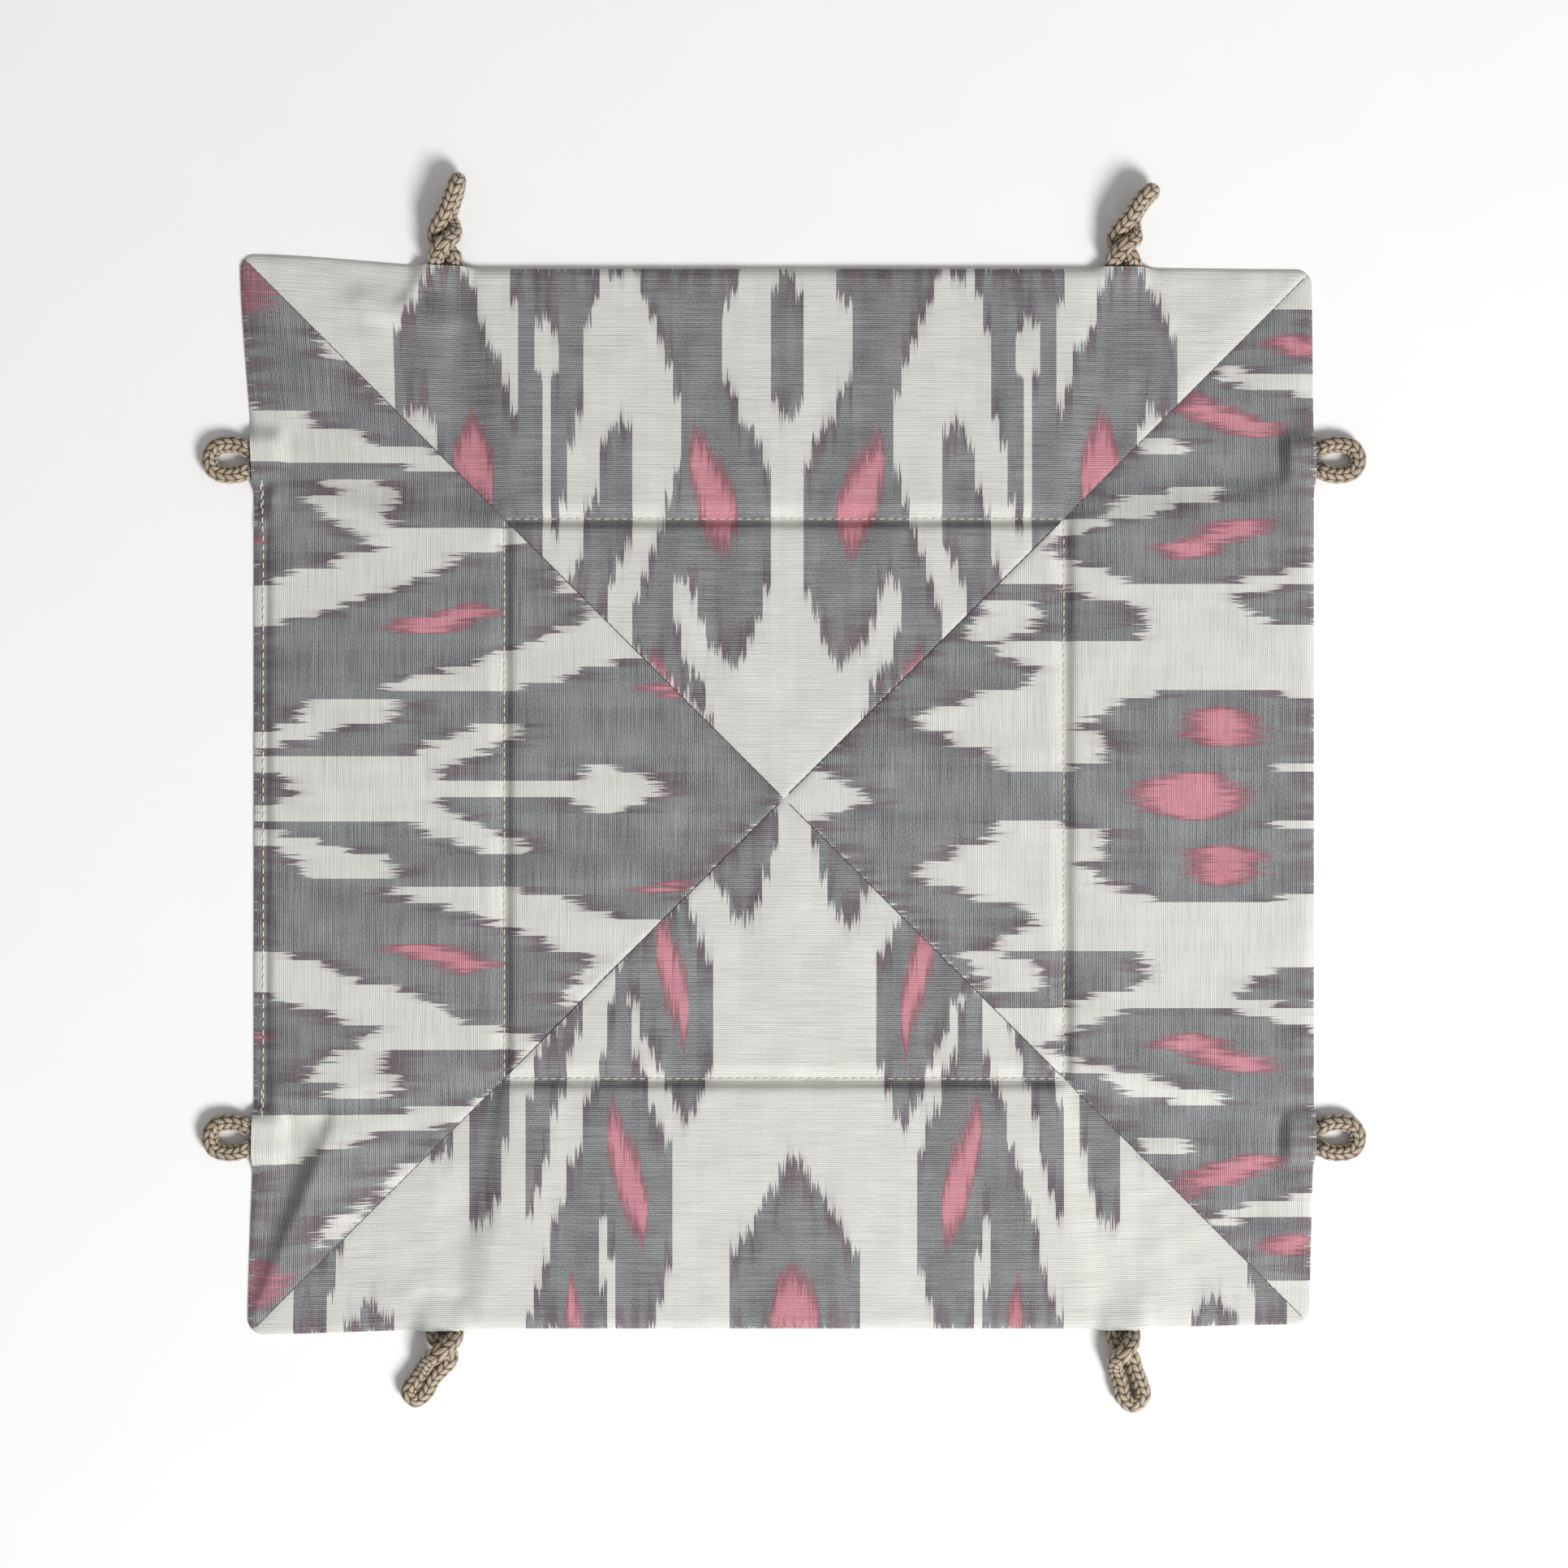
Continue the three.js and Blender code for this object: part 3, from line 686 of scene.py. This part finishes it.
# Soft ridges in the cloth: from, to, height, width towards the rim, width towards the middle
ridges = {
    "north": [((-126, 148.5), (-104, 145), 2.3, 6, 2.4), ((112, 158), (118, 148), 0.7, 4, 4),
              ((-115, 151), (-109, 161), 1.5, 2.4, 2.4)],
    "east": [((98, 150), (106, 152), 0.7, 3, 3), ((-108, 150), (-98, 151), 0.7, 3, 3),
             ((110, 120), (138, 150), 0.5, 5, 5)],
    "south": [((101, 158), (118, 150), 0.8, 4, 4), ((-116, 156), (-104, 152), 0.6, 4, 4),
              ((102, 150), (122, 147), 0.8, 2.5, 6)],
    "west": [((-109, 139.5), (-150, 152.5), 5.2, 5.5, 13), ((-90, 155), (-101, 143), 1.6, 3, 5),
             ((-112, 149), (-148, 160), -0.8, 4, 4),
             ((85, 160), (98, 154), 1.6, 3, 3), ((122, 152), (150, 158), 0.9, 4, 6)],
}
# Two flaps of one corner may share their room unevenly
flapShare = {("west", "south"): 0.172, ("south", "west"): 0.028}
# How far each outer corner is drawn out of square
cornerPull = {
    frozenset(("north", "west")): 6.0, frozenset(("south", "west")): 2.6,
    frozenset(("north", "east")): -0.8, frozenset(("south", "east")): -1.8,
}


def fromLine(u, v, start, end):
    # Distance to the stretch between start and end, and how far towards the rim of it
    a, b = np.array(start, float), np.array(end, float)
    run = b - a
    t = np.clip(((u - a[0]) * run[0] + (v - a[1]) * run[1]) / (run @ run), 0, 1)
    distance = np.hypot(u - a[0] - t * run[0], v - a[1] - t * run[1])
    return distance, v - a[1] - t * run[1]


def creaseAt(v):
    return half + splay * np.clip((v - half) / (reach - half), 0, 1)


def onBoard(u, v):
    # 1 over the boards, 0 in the folds and the loose corners
    wide = np.abs(u)
    overBase = smooth((half - lie["wallFrom"] - v) / lie["slope"])
    pastCrease = (creaseAt(v) + lie["creaseSlope"] / 2 - wide) / lie["creaseSlope"]
    overSide = smooth((v - half - lie["wallFrom"]) / lie["slope"]) * smooth(pastCrease)
    return np.where(v < half, overBase, overSide)


def ripple(side, u, v):
    # Long and short waves over one another, different on each side
    shift = turns[side] * 0.05
    long = np.sin(u * 0.19 + v * 0.07 + shift) * np.sin(v * 0.16 - u * 0.05 + shift * 2)
    short = np.sin(u * 0.43 - v * 0.21 + shift * 3) * np.sin(v * 0.37 + u * 0.13)
    return long * 0.7 + short * 0.3


def roomAbove(side, u, fromSeam):
    # Most height in a flap, so that two flaps don't meet when their corner is pinched
    shares = [flapShare.get((side, endOf(side, hand)), lie["pinch"]) for hand in (-1, 1)]
    near = np.minimum(fromSeam, lie["shareWide"])
    return hinge - lie["seamRoom"] + np.where(u < 0, *shares) * near + lie["pinch"] * (fromSeam - near)


def ikatHeight(side, u, v):
    wide = np.abs(u)
    board = onBoard(u, v)
    loose = np.where(v < half, lie["valley"], lie["loose"])
    loose = loose + (lie["valley"] - loose) * smooth((half + lie["foldEase"] - v) / lie["foldEase"])
    slack = lie["looseWave"] * (1 - board) * smooth((v - half) / lie["waveOver"])
    z = loose + (lie["board"] - loose) * board + ripple(side, u, v) * (lie["boardWave"] * board + slack)
    raised = np.zeros_like(z)
    for start, end, height, outerWidth, innerWidth in ridges[side]:
        distance, beyond = fromLine(u, v, start, end)
        width = innerWidth + (outerWidth - innerWidth) * smooth(beyond / lie["ridgeTurn"] + 0.5)
        raised += height * np.exp(-(distance / width) ** 2)
    if side == "west":
        # The sewn-up opening is pressed flat along the edge
        alongEdge = smooth((sewing["edgeHalf"] + sewing["edgeEase"] - wide) / sewing["edgeEase"])
        pressed = smooth((v - lie["pressFrom"]) / lie["pressSlope"]) * alongEdge
        z = z + (lie["loose"] - z) * pressed
    rim = np.clip((v - reach + lie["rimRound"]) / lie["rimRound"], 0, 1)
    z = lie["rimFoot"] + (z + raised - lie["rimFoot"]) * np.sqrt(1 - rim ** 2)
    tail = smooth((lie["tailWide"] + lie["tailSlope"] - np.abs(wide - cordPlace)) / lie["tailSlope"])
    inward = v - reach + lie["tailReach"]
    knotted = side in ("north", "south")
    climb = smooth(inward / lie["tailEndKnot" if knotted else "tailEnd"])
    z = z + (lie["tailHeight"][side] - z) * tail * climb
    if not knotted:
        z = z - lie["tailPress"] * tail * np.exp(-(inward / lie["tailPressWide"]) ** 2)
    fromSeam = np.clip(v - wide, 0, None)
    most = roomAbove(side, u, fromSeam)
    pastFold = smooth((v - half) / lie["flapFold"])
    outer = pastFold * smooth((wide - creaseAt(v) + lie["flapPast"]) / lie["flapCrease"])
    z = np.where(z > most, z + (np.minimum(z, most) - z) * outer, z)
    dip = lie["seamDip"] * np.exp(-(fromSeam / lie["seamWide"]) ** 2)
    return z - dip * np.where(v < half, board, lie["flapDip"])


def settle(side, u, v):
    # Rounds the outer corners and draws them out of square
    wide = np.abs(u)
    inner = reach - lie["corner"]
    a, b = wide - inner, v - inner
    rounded = (a > 0) & (b > 0)
    squeeze = np.where(rounded, np.maximum(a, b) / np.maximum(np.hypot(a, b), 1e-6), 1)
    newWide = np.where(rounded, inner + a * squeeze, wide)
    newOut = np.where(rounded, inner + b * squeeze, v)
    pull = np.zeros_like(u)
    for hand in (-1, 1):
        corner = frozenset((side, endOf(side, hand)))
        pull = np.where(u * hand > 0, cornerPull[corner], pull)
    near = [smooth((far - lie["pullFrom"]) / lie["pullOver"]) for far in (wide, v)]
    drawn = pull * (near[0] * near[1]) / math.sqrt(2)
    return np.sign(u) * (newWide + drawn), newOut + drawn


def rows():
    # Finer across the fold and at the rim
    fold, rim = lie["foldBand"], reach - lie["rimBand"]
    bands = [(0, half - fold, 67), (half - fold, half + fold, 13), (half + fold, rim, 56)]
    return np.concatenate([*(np.linspace(*band)[:-1] for band in bands), np.linspace(rim, reach, 12)])


def columns(middle):
    count = int(reach / lie["step"]) + 4
    inside = middle + lie["step"] * np.arange(-count, count + 1)
    return inside[(inside > -reach - 2) & (inside < reach + 2)]


def sheetOf(name, middle, cuts):
    # A flat grid in the side's own directions, trimmed by the lines in cuts: (point, outward)
    us, vs = columns(middle), rows()
    bpy.ops.mesh.primitive_grid_add(x_subdivisions=len(us) - 1, y_subdivisions=len(vs) - 1, size=2)
    sheet = bpy.context.object
    sheet.name = name
    sheet.data.name = name
    start = flatPlaces(sheet)
    column = np.rint((start[:, 0] + 1) / 2 * (len(us) - 1)).astype(int)
    row = np.rint((start[:, 1] + 1) / 2 * (len(vs) - 1)).astype(int)
    flat = np.stack([us[column], vs[row], np.zeros(len(start))], axis=1)
    sheet.data.vertices.foreach_set("co", flat.ravel())
    bpy.ops.object.mode_set(mode="EDIT")
    for point, outward in cuts:
        bpy.ops.mesh.select_all(action="SELECT")
        away = Vector((*outward, 0)).normalized()
        bpy.ops.mesh.bisect(plane_co=(*point, 0), plane_no=away, clear_outer=True, threshold=1e-3)
    bpy.ops.mesh.select_all(action="SELECT")
    bpy.ops.mesh.remove_doubles(threshold=1e-4)
    bpy.ops.object.mode_set(mode="OBJECT")
    return sheet


def flatPlaces(sheet):
    places = np.zeros(len(sheet.data.vertices) * 3)
    sheet.data.vertices.foreach_get("co", places)
    return places.reshape(-1, 3)


def layFlatMap(sheet):
    # The flat cloth's own millimetres, for the weave to follow
    for layer in list(sheet.data.uv_layers):
        sheet.data.uv_layers.remove(layer)
    places = flatPlaces(sheet)
    corners = np.array([loop.vertex_index for loop in sheet.data.loops])
    uv = sheet.data.uv_layers.new(name="flat")
    uv.data.foreach_set("uv", places[corners, :2].ravel())


def crossings(outlines, place, v, offset):
    inside = np.zeros(v.shape, bool)
    for numbers in outlines:
        outline = list(zip(numbers[::2], numbers[1::2]))
        one = np.zeros(v.shape, bool)
        for (x0, y0), (x1, y1) in zip(outline, outline[1:] + outline[:1]):
            if (x0 > place) != (x1 > place):
                one ^= v + offset > y0 + (y1 - y0) * (place - x0) / (x1 - x0)
        inside |= one
    return inside


def signedEnds(inside, fine, v):
    # Distance along the warp to the nearest change, positive inside
    changes = np.nonzero(inside[1:] != inside[:-1])[0]
    if not len(changes):
        return np.full(v.shape, weave["far"] if inside[0] else -weave["far"])
    ends = (fine[changes] + fine[changes + 1]) / 2
    within = (np.searchsorted(ends, v) % 2 == 1) ^ inside[0]
    return np.abs(v[:, None] - ends).min(axis=1) * np.where(within, 1, -1)


def dyeCloth(sheet, side):
    # Three readings on each face corner: dye, rose and the bundle's tone
    mesh = sheet.data
    places = flatPlaces(sheet)
    corners = np.array([loop.vertex_index for loop in mesh.loops])
    centres = np.zeros(len(mesh.polygons) * 3)
    mesh.polygons.foreach_get("center", centres)
    totals = np.array([face.loop_total for face in mesh.polygons])
    bundles = np.floor((centres.reshape(-1, 3)[:, 0] - middles[side]) / weave["bundle"]).astype(int)
    perCorner = np.repeat(bundles, totals)
    v = places[corners, 1]
    readings = {name: np.zeros(len(corners)) for name in ("dye", "rose", "tone")}
    first, past, step = weave["search"]
    fine = np.arange(first, reach + past, step)
    for bundle in np.unique(bundles):
        chance = np.random.default_rng([weave["seed"], turns[side] + 360, bundle + 500])
        place = abs(bundle + 0.5) * weave["bundle"]
        offset = chance.uniform(-weave["ends"], weave["ends"])
        here = perCorner == bundle
        kinds = ("dyed", "bare", "red")
        dyed, bare, red = (crossings(motifs[side, kind], place, fine, offset) for kind in kinds)
        readings["dye"][here] = signedEnds(dyed & ~bare, fine, v[here])
        readings["rose"][here] = signedEnds(red, fine, v[here])
        readings["tone"][here] = chance.uniform(-1, 1)
    # Rose bleeds a little from bundle to bundle, so it is evened out where they meet
    total, count = np.zeros(len(places)), np.zeros(len(places))
    np.add.at(total, corners, readings["rose"])
    np.add.at(count, corners, 1)
    shared = (total / np.maximum(count, 1))[corners] * weave["bleed"]
    readings["rose"] = readings["rose"] * (1 - weave["bleed"]) + shared
    if side == "west":
        # Painted shade: rose is held down near the west cut's outer corners, so they turn darker there
        limit = weave["westCornerShade"]
        cornerShade = smooth((np.abs(places[corners, 0]) - limit["from"]) / limit["over"])
        readings["rose"] = np.minimum(readings["rose"], limit["most"] - limit["most"] * cornerShade)
    for name, values in readings.items():
        mesh.attributes.new(name, "FLOAT", "CORNER").data.foreach_set("value", values)


def shape(sheet, side, height):
    # From flat cloth to where it lies, then the side turned to its place
    places = flatPlaces(sheet)
    u, v = places[:, 0], places[:, 1]
    z = height(side, u, v)
    east, north = spun(side, *settle(side, u, v))
    sheet.data.vertices.foreach_set("co", (np.stack([east, north, z], axis=1) * mm).ravel())
    sheet.data.update()


def thicken(sheet):
    only(sheet)
    modifier = sheet.modifiers.new("thickness", "SOLIDIFY")
    modifier.thickness = lie["thickness"] * mm
    modifier.offset = -1
    bpy.ops.object.modifier_apply(modifier=modifier.name)
    bpy.ops.object.shade_smooth_by_angle(angle=math.radians(lie["smoothBelow"]))


def liningHeight(side, u, v):
    wave = ripple(side, u + 40, v) * lining["wave"] * smooth((v - half) / lining["waveOver"])
    dip = lining["rimDip"] * smooth((v - reach + lining["rimWide"]) / lining["rimWide"])
    return lining["height"] + wave - dip


outOfCrease = {hand: (hand * (reach - half), -splay) for hand in (-1, 1)}
panelCuts = [((0, 0), (hand, -1)) for hand in (-1, 1)]
panelCuts += [((hand * half, half), outOfCrease[hand]) for hand in (-1, 1)]


def flapCuts(hand):
    x, y = outOfCrease[hand]
    return [((0, 0), (hand, -1)), ((hand * half, half), (-x, -y))]


def bendAlongFold(sheet):
    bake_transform(sheet)


def bendAlongCrease(sheet):
    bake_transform(sheet)


def layCloth(kind, name, side, middle, cuts, height, material):
    # A side's panel and its two flaps
    panel = sheetOf(f"{name}_{side}", middle, cuts)
    flaps = {}
    for hand in (-1, 1):
        flaps[hand] = sheetOf(f"{kind}_corner_{side}_{endOf(side, hand)}", middle, flapCuts(hand))
    for sheet in (panel, *flaps.values()):
        layFlatMap(sheet)
        if kind == "ikat":
            dyeCloth(sheet, side)
        shape(sheet, side, height)
        sheet.data.materials.append(material)
        thicken(sheet)
    return panel, flaps


def hingeFlaps(flaps, kind, side):
    for hand, flap in flaps.items():
        end = endOf(side, hand)
        bendAlongCrease(flap)
        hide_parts(f"corner_{kind}_{side}_{end}")


def makeIkat(side):
    panel, flaps = layCloth("ikat", "ikat_cut", side, middles[side], panelCuts, ikatHeight, ikatMaterial)
    bendAlongFold(panel)
    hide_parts(f"base_ikat_{side}", f"side_ikat_{side}")
    hingeFlaps(flaps, "ikat", side)
    print(f"ikat laid on the {side} side")


def makeLining(side):
    cuts = [*panelCuts, ((0, half), (0, -1))]
    panel, flaps = layCloth("lining", "lining_side", side, 0, cuts, liningHeight, liningMaterial)
    bendAlongFold(panel)
    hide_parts(f"side_lining_{side}")
    hingeFlaps(flaps, "lining", side)
    print(f"lining laid under the {side} side")


def makeBaseLining():
    # A square under the base board
    count = lining["grid"]
    bpy.ops.mesh.primitive_grid_add(x_subdivisions=count, y_subdivisions=count, size=2 * half)
    sheet = bpy.context.object
    sheet.name = "lining_base"
    bpy.ops.object.mode_set(mode="EDIT")
    bpy.ops.mesh.select_all(action="SELECT")
    bpy.ops.transform.translate(value=(0, 0, lining["height"]))
    bpy.ops.object.mode_set(mode="OBJECT")
    layFlatMap(sheet)
    sheet.data.transform(Matrix.Scale(mm, 4))
    sheet.data.materials.append(liningMaterial)
    thicken(sheet)
    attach(sheet, "root")
    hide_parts("base_lining")


ikatMaterial = ikatFinish()
liningMaterial = liningFinish()


def threadFinish(name, shades):
    material, tree, shader = newMaterial(name, sewing["surface"])
    east, north = objectAxes(tree)
    twist = grain(tree, east, north, sewing["twist"], sewing["twist"], detail=1.0)
    paint(tree, shader, mixed(tree, ramp(tree, twist, 0.3, 0.7), *shades))
    bump(tree, shader, twist, strength=0.4, distance=0.0001)
    return material


def sew(name, places, wide, material, body):
    # places are pairs of ends, in metres
    bpy.ops.mesh.primitive_uv_sphere_add(segments=8, ring_count=6, radius=1)
    stitch = bpy.context.object
    shapeOne = np.array([vertex.co for vertex in stitch.data.vertices])
    facesOne = [tuple(face.vertices) for face in stitch.data.polygons]
    bpy.data.objects.remove(stitch)
    vertices, faces = [], []
    for start, end in places:
        along = end - start
        forward = along.normalized()
        sideways = Vector((0, 0, 1)).cross(forward).normalized()
        upward = forward.cross(sideways)
        axesOf = np.array([forward * along.length / 2, sideways * wide / 2 * mm, upward * wide / 2 * mm])
        faces += [tuple(index + len(vertices) for index in face) for face in facesOne]
        vertices += list(shapeOne @ axesOf + np.array((start + end) / 2))
    mesh = bpy.data.meshes.new(name)
    mesh.from_pydata(vertices, [], faces)
    mesh.materials.append(material)
    piece = smoothPiece(name, mesh)
    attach(piece, body)
    return piece


def stitchesAlong(side, start, end, seam):
    # Ends of the stitches along a line, laid on the cloth
    count = round(math.dist(start, end) / seam["pitch"])
    found = []
    for i in range(count):
        pair = []
        for share in (i + 0.5 - seam["fill"] / 2, i + 0.5 + seam["fill"] / 2):
            t = share / count
            place = [np.array([a + (b - a) * t]) for a, b in zip(start, end)]
            z = float(ikatHeight(side, *place)[0]) + seam["lift"]
            across, out = (float(x[0]) for x in settle(side, *place))
            pair.append(turned(side, (across, out, z)))
        found.append(pair)
    return found


def alongSeam(side, hand, first, last, seam):
    # A corner's seam runs as far across as it does out
    return stitchesAlong(side, (hand * first, first), (hand * last, last), seam)


def makeStitching():
    for side in turns:
        fold = stitchesAlong(side, (-half, half), (half, half), sewing["fold"])
        piece = sew(f"fold_thread_{side}", fold, sewing["fold"]["wide"], creamThread, "root")
        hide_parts(f"fold_stitching_{side}")
    first = sewing["mitreFrom"]
    for side in ("north", "south"):
        for hand in (-1, 1):
            end = endOf(side, hand)
            seam = alongSeam(side, hand, first, half - sewing["mitreShort"], sewing["mitre"])
            piece = sew(f"mitre_thread_{side}_{end}", seam, sewing["mitre"]["wide"], darkThread,
                        "root")
            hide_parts(f"mitre_stitching_{side}_{end}")
            seam = alongSeam(side, hand, half + first, reach - sewing["rimShort"], sewing["corner"])
            sew(f"corner_thread_{side}_{end}", seam, sewing["corner"]["wide"], darkThread,
                f"{side}_{end}_corner")
    out, far = reach - sewing["edgeInset"], sewing["edgeHalf"]
    edge = stitchesAlong("west", (-far, out), (far, out), sewing["edge"])
    again = sewing["backtackCount"] * sewing["backtack"]["pitch"]
    out = out + sewing["backtackAside"]
    for hand in (-1, 1):
        span = [(hand * (far - back - sewing["backtackShort"]), out) for back in (again, 0)]
        edge += stitchesAlong("west", *span, sewing["backtack"])
    piece = sew("opening_thread_west", edge, sewing["edge"]["wide"], creamThread, "west_side")
    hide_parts("edge_topstitching_west")
    print("seams sewn")


# Boards stay as the frame has them, hidden in the cloth
greyboard = {
    "grain": (500, 900),  # cells in a metre
    "pulp": ((0.2, 0.18, 0.155), (0.33, 0.3, 0.265)),
    "surface": {"Roughness": 0.9},
}


def boardFinish():
    material, tree, shader = newMaterial("greyboard", greyboard["surface"])
    pulp = grain(tree, *objectAxes(tree), *greyboard["grain"], detail=3.0)
    paint(tree, shader, mixed(tree, pulp, *greyboard["pulp"]))
    bump(tree, shader, pulp, strength=0.3, distance=0.0002)
    return material


def finishBoards():
    for name in ("base_board", *(f"side_board_{side}" for side in turns)):
        for place in frame["nodes"][name].material_slots:
            place.material = boardMaterial
    print("boards finished")


# Pale floor and soft light, with a stronger lamp in the south-east. Lengths in metres.
studio = {
    "floorSize": 6,
    "floor": (0.95, 0.95, 0.95),
    "haze": 30,  # cells of its unevenness in a metre
    "hazeLight": 1.02,
    "surface": {"Roughness": 0.9, "Specular IOR Level": 0.0},
    "key": 66.0,
    "keyPlace": (1.24, -1.4, 1.7),
    "keySize": 0.9,
    "fill": 0.35,
}


def makeStudio():
    bpy.ops.mesh.primitive_grid_add(x_subdivisions=8, y_subdivisions=8, size=studio["floorSize"])
    floor = bpy.context.object
    floor.name = "floor"
    material, tree, shader = newMaterial("pale floor", studio["surface"])
    haze = grain(tree, *objectAxes(tree), studio["haze"], studio["haze"], detail=2.0)
    paler = tuple(min(1.0, value * studio["hazeLight"]) for value in studio["floor"])
    paint(tree, shader, mixed(tree, haze, studio["floor"], paler))
    floor.data.materials.append(material)
    bpy.ops.object.light_add(type="AREA", location=studio["keyPlace"])
    key = bpy.context.object
    key.data.shape = "DISK"
    key.data.size = studio["keySize"]
    key.data.energy = studio["key"]
    key.rotation_euler = (-key.location).to_track_quat("-Z", "Y").to_euler()
    world = bpy.data.worlds.new("studio")
    world.use_nodes = True
    world.node_tree.nodes["Background"].inputs["Color"].default_value = (1, 1, 1, 1)
    world.node_tree.nodes["Background"].inputs["Strength"].default_value = studio["fill"]
    bpy.context.scene.world = world
    bpy.context.scene.view_settings.view_transform = "Standard"
    print("studio lit")


creamThread = threadFinish("cream thread", sewing["cream"])
darkThread = threadFinish("dark thread", sewing["dark"])
boardMaterial = boardFinish()

for side in turns:
    makeIkat(side)
for side in turns:
    makeLining(side)
makeBaseLining()
makeStitching()
finishBoards()
makeStudio()
